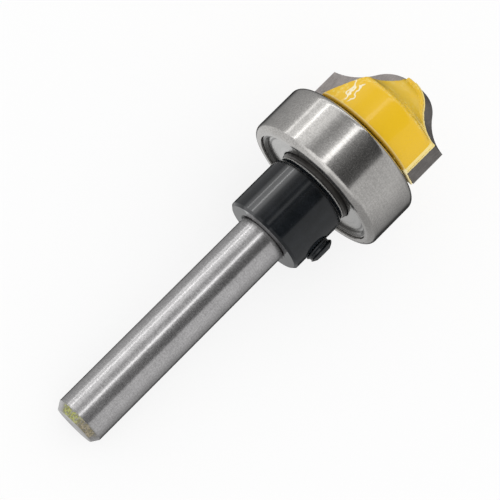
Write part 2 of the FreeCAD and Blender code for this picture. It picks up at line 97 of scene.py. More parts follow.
# %% [markdown]
# A material here is a small graph of nodes. These helpers make a graph, add a node with its values
# and join two sockets, so that each finish below reads as a list of what it is made of.


# %% Helpers for graphs of nodes
def add(tree, kind, **values):
    """New node whose named inputs, or settings in small letters, get these values."""
    node = tree.nodes.new(kind)
    for name, value in values.items():
        spaced = name.replace("_", " ")
        if spaced in node.inputs:
            fill(tree, node.inputs[spaced], value)
        else:
            setattr(node, name, value)
    return node


def fill(tree, socket, value):
    """Joins a socket to another one, or sets its own value."""
    if isinstance(value, bpy.types.NodeSocket):
        tree.links.new(value, socket)
    else:
        socket.default_value = value


def math_node(tree, operation, first, second=0.0, third=0.0):
    """Output of one sum on numbers."""
    node = tree.nodes.new("ShaderNodeMath")
    node.operation = operation
    for socket, value in zip(node.inputs, (first, second, third)):
        fill(tree, socket, value)
    return node.outputs[0]


def vector_node(tree, operation, first, second):
    """Node for one sum on vectors."""
    node = tree.nodes.new("ShaderNodeVectorMath")
    node.operation = operation
    fill(tree, node.inputs[0], first)
    fill(tree, node.inputs[1], second)
    return node


def smooth_step(tree, value, low, high):
    """Ramp from 0 at low to 1 at high, with soft ends."""
    node = tree.nodes.new("ShaderNodeMapRange")
    node.interpolation_type = "SMOOTHSTEP"
    for name, number in (("Value", value), ("From Min", low), ("From Max", high)):
        fill(tree, node.inputs[name], number)
    return node.outputs[0]


def blend(tree, share, first, second):
    """Colour between two colours."""
    node = tree.nodes.new("ShaderNodeMix")
    node.data_type = "RGBA"
    fill(tree, node.inputs[0], share)
    fill(tree, node.inputs[6], first)
    fill(tree, node.inputs[7], second)
    return node.outputs[2]


def noise(tree, vector, scale, detail=3.0, roughness=0.5):
    """Grey value of a cloudy pattern about 0.5."""
    node = tree.nodes.new("ShaderNodeTexNoise")
    for name, value in (("Vector", vector), ("Scale", scale), ("Detail", detail),
                        ("Roughness", roughness)):
        fill(tree, node.inputs[name], value)
    return node.outputs[0]


def grey(level, alpha=1.0):
    """Neutral colour of that level."""
    return (level, level, level, alpha)


print("helpers ready")

# %% [markdown]
# Turning and grinding marks run round the bit. A pattern on plain x, y and z would cross them, so this
# group turns a point into its station along the axis, its distance from the axis and its angle round
# it. It reads Object coordinates, which stay on the piece when the piece moves.


# %% Coordinates along and round the bit
def make_bit_group():
    """Group that gives station and radius in millimetres, and the angle in radians."""
    tree = bpy.data.node_groups.new("along and round the bit", "ShaderNodeTree")
    for name in ("Station", "Radius", "Angle"):
        tree.interface.new_socket(name=name, in_out="OUTPUT", socket_type="NodeSocketFloat")
    tree.interface.new_socket(name="Local", in_out="OUTPUT", socket_type="NodeSocketVector")
    ends = tree.nodes.new("NodeGroupOutput")
    where = tree.nodes.new("ShaderNodeTexCoord").outputs["Object"]
    offset = vector_node(tree, "SUBTRACT", where, SHANK_END).outputs[0]
    parts = []
    for direction in (DOWN, LEFT, AXIS):
        share = vector_node(tree, "DOT_PRODUCT", offset, direction).outputs["Value"]
        parts.append(math_node(tree, "MULTIPLY", share, 1000.0))
    across, left, station = parts
    radius = math_node(tree, "SQRT", math_node(
        tree, "ADD", math_node(tree, "MULTIPLY", across, across),
        math_node(tree, "MULTIPLY", left, left)))
    local = add(tree, "ShaderNodeCombineXYZ", X=across, Y=left, Z=station)
    tree.links.new(station, ends.inputs["Station"])
    tree.links.new(radius, ends.inputs["Radius"])
    tree.links.new(math_node(tree, "ARCTAN2", left, across), ends.inputs["Angle"])
    tree.links.new(local.outputs[0], ends.inputs["Local"])
    return tree


bit_group = make_bit_group()


def new_material(name, **values):
    """Material with its shader, its coordinates on the bit and its graph."""
    material = bpy.data.materials.new(name)
    material.use_nodes = True
    tree = material.node_tree
    shader = tree.nodes["Principled BSDF"]
    for socket, value in values.items():
        shader.inputs[socket.replace("_", " ")].default_value = value
    place = tree.nodes.new("ShaderNodeGroup")
    place.node_tree = bit_group
    return material, tree, shader, place.outputs


def ring_lines(tree, place, fine, long):
    """Fine lines that run round the bit, on a side or an end face alike."""
    drift = math_node(tree, "ADD", place["Station"], place["Radius"])
    start = add(tree, "ShaderNodeCombineXYZ", X=math_node(tree, "MULTIPLY", drift, fine),
                Y=math_node(tree, "MULTIPLY", math_node(tree, "COSINE", place["Angle"]), long),
                Z=math_node(tree, "MULTIPLY", math_node(tree, "SINE", place["Angle"]), long))
    return noise(tree, start.outputs[0], 1.0, 5.0, 0.62)


def bump(tree, shader, height, strength, distance):
    """Presses a height pattern, in metres of depth, into the shading."""
    node = add(tree, "ShaderNodeBump", Strength=strength, Distance=distance, Height=height)
    tree.links.new(node.outputs[0], shader.inputs["Normal"])


print("group outputs:", [item.name for item in bit_group.interface.items_tree])

# %% [markdown]
# Each wing is built up behind its cutting plane, which holds the bit's axis. The depth behind that
# plane tells the lapped cutting face, the plate and the narrow wall that backs the plate apart.

# %% Layers behind the cutting plane
WING_TURN = math.radians(64.5)


def layer(tree, place, behind, width):
    """1 in a layer of either wing that starts at that depth behind its cutting plane."""
    outward = (math.cos(WING_TURN), math.sin(WING_TURN), 0.0)
    deeper = (math.sin(WING_TURN), -math.cos(WING_TURN), 0.0)
    side = vector_node(tree, "DOT_PRODUCT", place["Local"], outward).outputs["Value"]
    depth = vector_node(tree, "DOT_PRODUCT", place["Local"], deeper).outputs["Value"]
    depth = math_node(tree, "MULTIPLY", depth, math_node(tree, "SIGN", side))
    far = math_node(tree, "ADD", width, behind)
    return math_node(tree, "MULTIPLY", smooth_step(tree, depth, behind - 0.16, behind - 0.08),
                     smooth_step(tree, depth, math_node(tree, "ADD", far, 0.06), far))


print("wings at", round(math.degrees(WING_TURN), 1), "degrees and half a turn on")

# %% [markdown]
# The shank and the bearing's rings are hardened steel, ground round and round and left bare. The
# grinding leaves fine rings, a few deeper ones, and a haze of specks. Rings scatter light along the
# axis and not across it, so the gloss is stretched and its direction is set on a tangent. Hollows are
# painted darker as shade, found by Ambient Occlusion from the shape alone. The inner ring lies far in
# between the washer and the shield, and its steel is painted dark as shade.


# %% Ground steel
def shade_in_hollows(tree, clean, reach):
    """Colour that turns to near black where the shape is hollow, as painted shade."""
    hollow = add(tree, "ShaderNodeAmbientOcclusion", Distance=reach)
    return blend(tree, smooth_step(tree, hollow.outputs["AO"], 0.30, 0.85),
                 (0.035, 0.032, 0.028, 1), clean)


def ground_steel(name, colour, roughness, fine):
    """Bare ground steel with fine rings, small dents and a haze of specks."""
    material, tree, shader, place = new_material(name, Metallic=1.0)
    lines = ring_lines(tree, place, fine, 1.3)
    specks = noise(tree, place["Local"], 4.5, 4.0, 0.75)
    cloud = noise(tree, place["Local"], 0.35, 2.0)
    level = math_node(tree, "ADD", math_node(tree, "MULTIPLY", lines, 0.2),
                      math_node(tree, "MULTIPLY", specks, 0.6))
    level = math_node(tree, "ADD", level, math_node(tree, "MULTIPLY", cloud, 0.2))
    share = smooth_step(tree, level, 0.38, 0.62)
    dark = tuple(0.82 * value for value in colour) + (1.0,)
    light = tuple(min(1.0, 1.14 * value) for value in colour) + (1.0,)
    clean = blend(tree, share, dark, light)
    # Ambient Occlusion darkens the hollows here: painted shade.
    fill(tree, shader.inputs["Base Color"], shade_in_hollows(tree, clean, 0.001))
    worn = math_node(tree, "MULTIPLY_ADD", specks, 0.14, roughness - 0.07)
    fill(tree, shader.inputs["Roughness"], worn)
    shader.inputs["Anisotropic"].default_value = 0.6
    surface = tree.nodes.new("ShaderNodeTexCoord").outputs
    arm = vector_node(tree, "SUBTRACT", surface["Object"], SHANK_END).outputs[0]
    round_way = vector_node(tree, "CROSS_PRODUCT", AXIS, arm).outputs[0]
    glint = vector_node(tree, "CROSS_PRODUCT", surface["Normal"], round_way).outputs[0]
    turned = add(tree, "ShaderNodeVectorTransform", vector_type="VECTOR", convert_from="OBJECT",
                 convert_to="WORLD")
    tree.links.new(glint, turned.inputs[0])
    tree.links.new(turned.outputs[0], shader.inputs["Tangent"])
    pits = math_node(tree, "ADD", math_node(tree, "MULTIPLY", lines, 0.5), specks)
    bump(tree, shader, pits, 0.2, 0.00001)
    return material, tree, shader, place


ring_steel = ground_steel("ground bearing steel", (0.59, 0.575, 0.555), 0.17, 6.0)[0]
# The inner ring's dark colour is painted shade, for where it sits between the washer and the shield.
shaded_inner_steel = ground_steel("inner ring darkened as painted shade", (0.13, 0.125, 0.12), 0.3, 6.0)[0]
print("made", ring_steel.name, shaded_inner_steel.name)

# %% [markdown]
# The shank is the same kind of steel. Its end was dipped or brushed by the paint of the head, so the
# chamfer of the end keeps yellow-green specks on one side, which thin out to a brown stain.


# %% Bare steel of the shank
def shank_steel():
    """Ground steel with paint left in the chamfer of its end."""
    material, tree, shader, place = ground_steel(
        "bare steel of the shank", (0.585, 0.575, 0.578), 0.23, 7.0)
    steel = shader.inputs["Base Color"].links[0].from_socket
    grains = noise(tree, place["Local"], 5.5, 5.0, 0.75)
    end = math_node(tree, "MULTIPLY", smooth_step(tree, place["Station"], 1.15, 0.75),
                    smooth_step(tree, place["Radius"], 2.1, 2.5))
    facing = smooth_step(tree, math_node(tree, "ABSOLUTE", place["Angle"]), 1.9, 2.4)
    wanted = math_node(tree, "MULTIPLY", end, facing)
    edge = math_node(tree, "SUBTRACT", 0.72, math_node(tree, "MULTIPLY", wanted, 0.29))
    share = math_node(tree, "MULTIPLY", smooth_step(
        tree, grains, edge, math_node(tree, "ADD", edge, 0.05)), end)
    left = vector_node(tree, "DOT_PRODUCT", place["Local"], (0.0, 1.0, 0.0)).outputs["Value"]
    left = math_node(tree, "MULTIPLY_ADD", grains, 3.0, math_node(tree, "SUBTRACT", left, 1.5))
    paint = blend(tree, smooth_step(tree, left, -0.4, 0.6), (0.34, 0.29, 0.20, 1),
                  (0.41, 0.43, 0.12, 1))
    spots = smooth_step(tree, noise(tree, place["Local"], 4.0, 2.0), 0.56, 0.46)
    paint = blend(tree, math_node(tree, "MULTIPLY", spots, 0.6), paint, (0.11, 0.10, 0.035, 1))
    stained = blend(tree, math_node(tree, "MULTIPLY", wanted, 0.5), steel, (0.20, 0.19, 0.16, 1))
    fill(tree, shader.inputs["Base Color"], blend(tree, share, stained, paint))
    fill(tree, shader.inputs["Metallic"], math_node(tree, "SUBTRACT", 1.0, share))
    return material


bare_steel = shank_steel()
print("made", bare_steel.name)

# %% [markdown]
# The head is painted a warm yellow, thick and glossy, and slightly wavy all over. Its colour is paler
# on edges, as thinner paint and painted highlight, and darker in hollows, as thicker paint and painted
# shade; Pointiness and Ambient Occlusion read that from the shape, wherever the camera stands. The
# nose and the cove are painted paler as a reflection, the cove with pale specks that are partly painted
# highlight. The narrow wall behind each plate, the ledge at the foot of the head and crooked lines on
# the side are painted pale as highlights.


# %% Yellow paint
def crooked_line(tree, place, middle):
    """1 on a crooked line that runs along the bit at that angle, the same on both wings."""
    turned = math_node(tree, "FLOORED_MODULO", place["Angle"], math.pi)
    sway = noise(tree, place["Local"], 1.1, 1.0, 0.4)
    leaning = math_node(tree, "MULTIPLY_ADD", place["Station"], -0.028, 0.028 * 48.7 + middle)
    leaning = math_node(tree, "MULTIPLY_ADD", sway, 0.30, math_node(tree, "SUBTRACT", leaning, 0.15))
    offset = math_node(tree, "SUBTRACT", turned, leaning)
    return smooth_step(tree, math_node(tree, "ABSOLUTE", offset), 0.026, 0.007)


def yellow_paint():
    """Gloss paint with painted highlights and painted shade, a soft ripple and dust in it."""
    material, tree, shader, place = new_material(
        "yellow gloss paint", Roughness=0.35, Specular_IOR_Level=0.25, Coat_Weight=0.8,
        Coat_Roughness=0.04)
    cloud = noise(tree, place["Local"], 0.5, 3.0)
    dust = noise(tree, place["Local"], 7.0, 3.0, 0.7)
    thick_and_shaded = (0.60, 0.28, 0.003, 1)
    full = (0.85, 0.52, 0.004, 1)
    pale = (0.88, 0.66, 0.12, 1)
    # Hollows get the darker colour through Ambient Occlusion: partly thicker paint, partly painted
    # shade.
    hollow = add(tree, "ShaderNodeAmbientOcclusion", Distance=0.0012)
    colour = blend(tree, smooth_step(tree, hollow.outputs["AO"], 0.35, 0.95), thick_and_shaded, full)
    # Edges get a paler colour through Pointiness: partly thinner paint, partly painted highlight.
    edges = add(tree, "ShaderNodeNewGeometry").outputs["Pointiness"]
    thin_and_highlit = math_node(tree, "MULTIPLY", smooth_step(tree, edges, 0.506, 0.55), 0.7)
    colour = blend(tree, thin_and_highlit, colour, pale)
    # From station 51 on the paint is made paler in clouds: a painted reflection on the nose and cove.
    nose_sheen = math_node(tree, "MULTIPLY", smooth_step(tree, place["Station"], 51.0, 52.2), 0.6)
    nose_sheen = math_node(tree, "MULTIPLY", nose_sheen, smooth_step(tree, cloud, 0.3, 0.62))
    colour = blend(tree, nose_sheen, colour, (0.78, 0.54, 0.07, 1))
    # Pale specks in the cove: partly specks in the paint, partly a painted highlight.
    cove = math_node(tree, "MULTIPLY", smooth_step(tree, place["Station"], 50.9, 51.3),
                     smooth_step(tree, place["Station"], 52.9, 52.2))
    cove_specks_and_sheen = math_node(tree, "MULTIPLY", cove, smooth_step(tree, dust, 0.54, 0.62))
    colour = blend(tree, math_node(tree, "MULTIPLY", cove_specks_and_sheen, 0.6), colour, (0.92, 0.78, 0.36, 1))
    # A pale strip on the narrow wall behind each plate: a painted highlight.
    side = smooth_step(tree, place["Station"], 51.9, 51.1)
    width = math_node(tree, "MULTIPLY_ADD", side, 0.32, 0.16)
    wall_highlight = math_node(tree, "MULTIPLY", layer(tree, place, 1.9, width),
                     math_node(tree, "MULTIPLY_ADD", smooth_step(tree, cloud, 0.3, 0.7), 0.3, 0.6))
    colour = blend(tree, wall_highlight, colour, (0.96, 0.82, 0.36, 1))
    # A pale band on the ledge at the foot of the head: a painted highlight.
    ledge_highlight = math_node(tree, "MULTIPLY", smooth_step(tree, place["Station"], 47.0, 46.9),
                      smooth_step(tree, place["Radius"], 7.9, 8.3))
    colour = blend(tree, math_node(tree, "MULTIPLY", ledge_highlight, 0.7), colour, (0.97, 0.88, 0.55, 1))
    # Pale crooked lines on the side: painted highlights, over low ridges that the bump raises along
    # them.
    highlit_ridges = math_node(tree, "MAXIMUM", crooked_line(tree, place, 2.49), crooked_line(tree, place, 2.60))
    highlit_ridges = math_node(tree, "MULTIPLY", highlit_ridges, math_node(
        tree, "MULTIPLY", smooth_step(tree, place["Station"], 47.2, 47.5),
        smooth_step(tree, place["Station"], 50.4, 50.1)))
    colour = blend(tree, math_node(tree, "MULTIPLY", highlit_ridges, 0.85), colour, (0.98, 0.93, 0.70, 1))
    specks = math_node(tree, "MULTIPLY", smooth_step(tree, dust, 0.66, 0.72), 0.5)
    colour = blend(tree, specks, colour, (0.42, 0.24, 0.03, 1))
    fill(tree, shader.inputs["Base Color"], colour)
    ripple = math_node(tree, "ADD", noise(tree, place["Local"], 1.1, 2.0),
                       math_node(tree, "MULTIPLY", dust, 0.12))
    ripple = math_node(tree, "MULTIPLY_ADD", highlit_ridges, 0.4, ripple)
    bump(tree, shader, ripple, 0.6, 0.00008)
    return material


paint = yellow_paint()
print("made", paint.name)

# %% [markdown]
# The cutting plates are tungsten carbide. It is pressed and sintered from powder, so it is a dark grey
# with a fine grain, and its ground faces have a dull sheen with straight grinding marks. The cutting
# face is lapped last and finest, and its colour is painted lighter than the clearance faces behind it,
# as sheen.


# %% Carbide
def carbide_finish():
    """Dull ground carbide with grain and straight marks, and a cutting face painted lighter as sheen.
    """
    material, tree, shader, place = new_material("ground tungsten carbide", Metallic=0.75)
    grain = noise(tree, place["Local"], 11.0, 5.0, 0.75)
    marks = add(tree, "ShaderNodeMapping", Vector=place["Local"], Scale=(1.2, 14.0, 1.2),
                Rotation=(0.0, 0.0, 1.13))
    scored = noise(tree, marks.outputs[0], 1.0, 3.0, 0.6)
    cloud = noise(tree, place["Local"], 0.8, 2.0)
    level = math_node(tree, "ADD", math_node(tree, "MULTIPLY", grain, 0.5),
                      math_node(tree, "MULTIPLY", scored, 0.3))
    level = math_node(tree, "ADD", level, math_node(tree, "MULTIPLY", cloud, 0.2))
    colour = blend(tree, smooth_step(tree, level, 0.36, 0.64), (0.145, 0.135, 0.130, 1),
                   (0.27, 0.255, 0.242, 1))
    # The cutting face gets a lighter copy of the carbide colour: painted sheen.
    lapped_face_sheen = blend(tree, smooth_step(tree, level, 0.36, 0.64), (0.245, 0.225, 0.22, 1),
                   (0.44, 0.41, 0.405, 1))
    face = layer(tree, place, 0.0, 0.0)
    fill(tree, shader.inputs["Base Color"], blend(tree, face, colour, lapped_face_sheen))
    fill(tree, shader.inputs["Roughness"], math_node(tree, "MULTIPLY_ADD", grain, 0.25, 0.36))
    bump(tree, shader, level, 0.5, 0.00002)
    return material


carbide = carbide_finish()
print("made", carbide.name)

# %% [markdown]
# The collar, the washer and the set screw are blackened steel, dipped in oil. The finish is nearly
# black and glossy, with cloudy patches, specks and turning marks that show in its reflections. The
# oil has gathered along one side of the collar, and the washer's edge is painted bright as a highlight.


# %% Blackened steel
def black_finish(name, fine):
    """Oiled black oxide with clouds, specks and faint turning marks."""
    material, tree, shader, place = new_material(name, Coat_Weight=0.05, Coat_Roughness=0.04)
    lines = ring_lines(tree, place, fine, 0.9)
    specks = noise(tree, place["Local"], 6.0, 5.0, 0.72)
    cloud = noise(tree, place["Local"], 0.6, 3.0)
    level = math_node(tree, "ADD", math_node(tree, "MULTIPLY", specks, 0.6),
                      math_node(tree, "MULTIPLY", cloud, 0.4))
    colour = blend(tree, smooth_step(tree, level, 0.4, 0.62), (0.003, 0.0045, 0.006, 1),
                   (0.009, 0.011, 0.014, 1))
    grains = math_node(tree, "MULTIPLY", smooth_step(tree, specks, 0.66, 0.72), 0.5)
    colour = blend(tree, grains, colour, (0.08, 0.085, 0.09, 1))
    fill(tree, shader.inputs["Base Color"], colour)
    fill(tree, shader.inputs["Roughness"], math_node(tree, "MULTIPLY_ADD", specks, 0.12, 0.04))
    height = math_node(tree, "ADD", math_node(tree, "MULTIPLY", lines, 0.5), specks)
    bump(tree, shader, height, 0.35, 0.000012)
    return material, tree, shader, place


def oiled_collar():
    """Black steel whose oil has gathered along one side and drained from the strip beside it."""
    material, tree, shader, place = black_finish("black oxide steel of the collar", 3.0)
    turned = math_node(tree, "ABSOLUTE", math_node(tree, "SUBTRACT", place["Angle"], 2.46))
    film = smooth_step(tree, turned, 0.24, 0.13)
    drained = math_node(tree, "MULTIPLY", smooth_step(tree, place["Angle"], 2.86, 2.93),
                        smooth_step(tree, place["Angle"], 3.14, 3.08))
    gloss = math_node(tree, "MULTIPLY_ADD", film, 0.5, 0.5)
    gloss = math_node(tree, "MULTIPLY_ADD", drained, -0.32, gloss)
    fill(tree, shader.inputs["Specular IOR Level"], gloss)
    fill(tree, shader.inputs["Coat Weight"], math_node(tree, "MULTIPLY_ADD", film, 0.9, 0.05))
    return material


def washer_with_edge_highlight():
    """Black steel with a painted highlight along the edge that faces the bearing."""
    material, tree, shader, place = black_finish("black washer with a painted edge highlight", 3.0)
    black = shader.inputs["Base Color"].links[0].from_socket
    grains = noise(tree, place["Local"], 3.0, 3.0)
    # A near-white band along the washer's edge: a painted highlight.
    start = math_node(tree, "MULTIPLY_ADD", grains, 0.1, 38.74)
    edge_highlight = smooth_step(tree, place["Station"], start, math_node(tree, "ADD", start, 0.05))
    edge_highlight = math_node(tree, "MULTIPLY", edge_highlight, smooth_step(tree, place["Radius"], 4.6, 4.75))
    fill(tree, shader.inputs["Base Color"], blend(tree, edge_highlight, black, (0.90, 0.89, 0.86, 1)))
    fill(tree, shader.inputs["Metallic"], math_node(tree, "MULTIPLY", edge_highlight, 0.6))
    return material


black_steel = black_finish("black oxide steel", 3.0)[0]
collar_steel = oiled_collar()
washer_steel = washer_with_edge_highlight()
print("made", black_steel.name, collar_steel.name, washer_steel.name)

# %% [markdown]
# The shields are thin sheet, pressed to shape and polished by it, so they mirror the collar in front of
# them. The balls are polished too, and the cage between the rings is plain pressed sheet.


# %% Sheet and balls
def sheet_finish(name, colour, roughness, fine):
    """Pressed bright sheet with faint rings."""
    material, tree, shader, place = new_material(name, Metallic=1.0)
    lines = ring_lines(tree, place, fine, 0.8)
    specks = noise(tree, place["Local"], 8.0, 4.0, 0.7)
    level = math_node(tree, "ADD", math_node(tree, "MULTIPLY", lines, 0.5),
                      math_node(tree, "MULTIPLY", specks, 0.5))
    dark = tuple(0.78 * value for value in colour) + (1.0,)
    clean = blend(tree, smooth_step(tree, level, 0.36, 0.62), dark, tuple(colour) + (1.0,))
    # Ambient Occlusion darkens the hollows here: painted shade.
    fill(tree, shader.inputs["Base Color"], shade_in_hollows(tree, clean, 0.0008))
    fill(tree, shader.inputs["Roughness"],
         math_node(tree, "MULTIPLY_ADD", specks, 0.12, roughness - 0.06))
    bump(tree, shader, level, 0.3, 0.00001)
    return material, tree, shader, place


def shield_finish():
    """Bright sheet with dark rings painted near its rim, as shade in its pressed grooves."""
    material, tree, shader, place = sheet_finish("pressed shield sheet", (0.66, 0.655, 0.64), 0.14, 2.5)
    bright = shader.inputs["Base Color"].links[0].from_socket
    radius = place["Radius"]
    # Two dark rings near the rim are painted shade, for the grooves where the shield is pressed into
    # the ring.
    inner = math_node(tree, "MULTIPLY", smooth_step(tree, radius, 7.05, 7.2),
                      smooth_step(tree, radius, 7.45, 7.3))
    outer = math_node(tree, "MULTIPLY", smooth_step(tree, radius, 7.6, 7.75),
                      smooth_step(tree, radius, 8.15, 8.05))
    rings = math_node(tree, "ADD", math_node(tree, "MULTIPLY", inner, 0.7),
                      math_node(tree, "MULTIPLY", outer, 0.9))
    fill(tree, shader.inputs["Base Color"], blend(tree, rings, bright, (0.05, 0.048, 0.045, 1)))
    return material


shield_sheet = shield_finish()
cage_sheet = sheet_finish("pressed cage sheet", (0.52, 0.49, 0.43), 0.35, 2.0)[0]
ball_steel = sheet_finish("polished balls", (0.74, 0.74, 0.76), 0.08, 0.5)[0]
print("made", shield_sheet.name, cage_sheet.name, ball_steel.name)

# %% [markdown]
# Each CAD object gets the finish of its real piece. Its mesh stays as it is, and only the material in
# its slots changes.


# %% Finishes for the CAD objects
def wear(name, material):
    """Puts one finish on a CAD object."""
    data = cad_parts[name].data
    data.materials.clear()
    data.materials.append(material)


finishes = {
    "carbide_tip_1": carbide,
    "carbide_tip_2": carbide,
    "washer": washer_steel,
    "lock_collar": collar_steel,
    "bearing_inner_ring": shaded_inner_steel,
    "bearing_outer_ring": ring_steel,
    "shield_shank_side": shield_sheet,
    "shield_head_side": shield_sheet,
    "cage_half_shank_side": cage_sheet,
    "cage_half_head_side": cage_sheet,
}
for number in range(1, 8):
    finishes["ball_%d" % number] = ball_steel
    finishes["cage_rivet_%d" % number] = cage_sheet
for name, material in finishes.items():
    wear(name, material)
print("finished", len(finishes), "CAD objects")

# %% [markdown]
# A sharp steel edge under paint looks round, because the coat is thick and pulls itself smooth. A bevel
# on this finely split CAD mesh would fold over itself. So the head is cut off the body's mesh, remade
# from small even cells and smoothed a little, which rounds every edge by about a fifth of a
# millimetre. The shank keeps the exact CAD surface.

# %% The cutter body in two finishes
HEAD_START = 46.3
CELL = 0.11


def copy_of(name):
    """Welded copy of a CAD object's mesh without its stored normals, for work on its shape."""
    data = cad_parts[name].data.copy()
    if data.has_custom_normals:
        data.attributes.remove(data.attributes["custom_normal"])
    mesh = bmesh.new()
    mesh.from_mesh(data)
    bpy.data.meshes.remove(data)
    bmesh.ops.remove_doubles(mesh, verts=mesh.verts, dist=1e-7)
    return mesh


def cut_off(mesh, station, keep_head):
    """Removes the part before or after a station and closes the cut."""
    geometry = mesh.verts[:] + mesh.edges[:] + mesh.faces[:]
    result = bmesh.ops.bisect_plane(mesh, geom=geometry, plane_co=on_bit(0, 0, station),
                                    plane_no=AXIS, clear_outer=not keep_head,
                                    clear_inner=keep_head)
    rim = [item for item in result["geom_cut"] if isinstance(item, bmesh.types.BMEdge)]
    bmesh.ops.edgeloop_fill(mesh, edges=rim)
    return mesh


def new_object(name, mesh):
    """Object at the origin from a working mesh."""
    data = bpy.data.meshes.new(name)
    mesh.to_mesh(data)
    mesh.free()
    item = bpy.data.objects.new(name, data)
    bpy.context.collection.objects.link(item)
    return item


def evaluated(item, name):
    """Plain mesh of an object with its modifiers applied."""
    graph = bpy.context.evaluated_depsgraph_get()
    data = bpy.data.meshes.new_from_object(item.evaluated_get(graph))
    data.name = name
    return data


head = new_object("painted_head", cut_off(copy_of("cutter_body"), HEAD_START, True))
cells = head.modifiers.new("even cells", "REMESH")
cells.mode = "VOXEL"
cells.voxel_size = CELL * MM
soft = head.modifiers.new("soft edges", "SMOOTH")
soft.factor = 0.5
soft.iterations = 6
head.data = evaluated(head, "painted_head")
head.modifiers.clear()
print("cells of the head:", len(head.data.polygons))

shank = new_object("bare_shank", cut_off(copy_of("cutter_body"), HEAD_START, False))
for item, material in ((head, paint), (shank, bare_steel)):
    item.data.materials.clear()
    item.data.materials.append(material)
    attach(item, "cutter")
    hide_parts("cutter_body")
for polygon in head.data.polygons:
    polygon.use_smooth = True
shank.data.shade_smooth()
shank.data.set_sharp_from_angle(angle=math.radians(25))
print("cutter body from", head.name, "and", shank.name)

# %% [markdown]
# The set screw is the one fastener that shows. Its thread follows a rule: the radius rises and falls
# with the distance along the screw less the angle round it. So Geometry Nodes makes it from a plain
# cylinder, moves each point to that radius, and cuts the hexagon for the key.


# %% The rule of the thread
def thread_tree():
    """Geometry Nodes tree of a threaded screw with a hex socket, its point at the origin."""
    tree = bpy.data.node_groups.new("threaded screw", "GeometryNodeTree")
    inputs = (("Length", 3.175), ("Radius", 1.7525), ("Pitch", 0.794), ("Depth", 0.22),
              ("Chamfer", 0.25), ("Crown Radius", 2.7), ("Crown Face", 1.0), ("Across", 1.588),
              ("Socket Depth", 1.3))
    for name, value in inputs:
        socket = tree.interface.new_socket(name=name, in_out="INPUT",
                                           socket_type="NodeSocketFloat")
        socket.default_value = value
    tree.interface.new_socket(name="Material", in_out="INPUT", socket_type="NodeSocketMaterial")
    tree.interface.new_socket(name="Geometry", in_out="OUTPUT",
                              socket_type="NodeSocketGeometry")
    given = tree.nodes.new("NodeGroupInput").outputs
    ends = tree.nodes.new("NodeGroupOutput")
    bar = add(tree, "GeometryNodeMeshCylinder", fill_type="NGON", Vertices=96, Radius=given["Radius"],
              Depth=given["Length"])
    bar.inputs["Side Segments"].default_value = 90
    place = tree.nodes.new("ShaderNodeSeparateXYZ")
    tree.links.new(tree.nodes.new("GeometryNodeInputPosition").outputs[0], place.inputs[0])
    across, left, height = place.outputs
    half = math_node(tree, "MULTIPLY", given["Length"], 0.5)
    turns = math_node(tree, "DIVIDE", math_node(tree, "ARCTAN2", left, across), 2 * math.pi)
    wave = math_node(tree, "SUBTRACT", math_node(tree, "DIVIDE", height, given["Pitch"]), turns)
    wave = math_node(tree, "PINGPONG", wave, 0.5)
    flank = smooth_step(tree, wave, 0.03, 0.4)
    from_point = math_node(tree, "ADD", half, height)
    taper = math_node(tree, "MAXIMUM", math_node(tree, "SUBTRACT", given["Chamfer"], from_point),
                      0.0)
    reach = math_node(tree, "MULTIPLY", given["Crown Radius"], given["Crown Radius"])
    face = math_node(tree, "MULTIPLY", given["Crown Face"], given["Crown Face"])
    lifted = math_node(tree, "SQRT", math_node(tree, "SUBTRACT", reach, face))
    lifted = math_node(tree, "ADD", lifted, math_node(tree, "SUBTRACT", height, half))
    dome = math_node(tree, "SQRT", math_node(
        tree, "SUBTRACT", reach, math_node(tree, "MULTIPLY", lifted, lifted)))
    rounded = math_node(tree, "SUBTRACT", given["Radius"], dome)
    sunk = math_node(tree, "MAXIMUM", math_node(tree, "MULTIPLY", flank, given["Depth"]), taper)
    sunk = math_node(tree, "MAXIMUM", sunk, rounded)
    share = math_node(tree, "DIVIDE", math_node(tree, "SUBTRACT", given["Radius"], sunk),
                      given["Radius"])
    moved = add(tree, "ShaderNodeCombineXYZ", X=math_node(tree, "MULTIPLY", across, share),
                Y=math_node(tree, "MULTIPLY", left, share), Z=math_node(tree, "ADD", height, half))
    cut_back = tree.nodes.new("GeometryNodeSetPosition")
    tree.links.new(bar.outputs["Mesh"], cut_back.inputs["Geometry"])
    tree.links.new(moved.outputs[0], cut_back.inputs["Position"])
    corner = math_node(tree, "DIVIDE", given["Across"], math.sqrt(3))
    key = add(tree, "GeometryNodeMeshCylinder", Vertices=6, Radius=corner,
              Depth=math_node(tree, "MULTIPLY", given["Socket Depth"], 2.0))
    lift = tree.nodes.new("GeometryNodeTransform")
    tree.links.new(key.outputs["Mesh"], lift.inputs["Geometry"])
    top = add(tree, "ShaderNodeCombineXYZ", Z=given["Length"])
    tree.links.new(top.outputs[0], lift.inputs["Translation"])
    socket = add(tree, "GeometryNodeMeshBoolean", operation="DIFFERENCE")
    tree.links.new(cut_back.outputs[0], socket.inputs[0])
    tree.links.new(lift.outputs[0], socket.inputs[1])
    real = tree.nodes.new("GeometryNodeRealizeInstances")
    tree.links.new(socket.outputs[0], real.inputs[0])
    dressed = tree.nodes.new("GeometryNodeSetMaterial")
    tree.links.new(real.outputs[0], dressed.inputs["Geometry"])
    tree.links.new(given["Material"], dressed.inputs["Material"])
    tree.links.new(dressed.outputs[0], ends.inputs[0])
    return tree


screw_tree = thread_tree()
print("thread inputs:", [item.name for item in screw_tree.interface.items_tree])

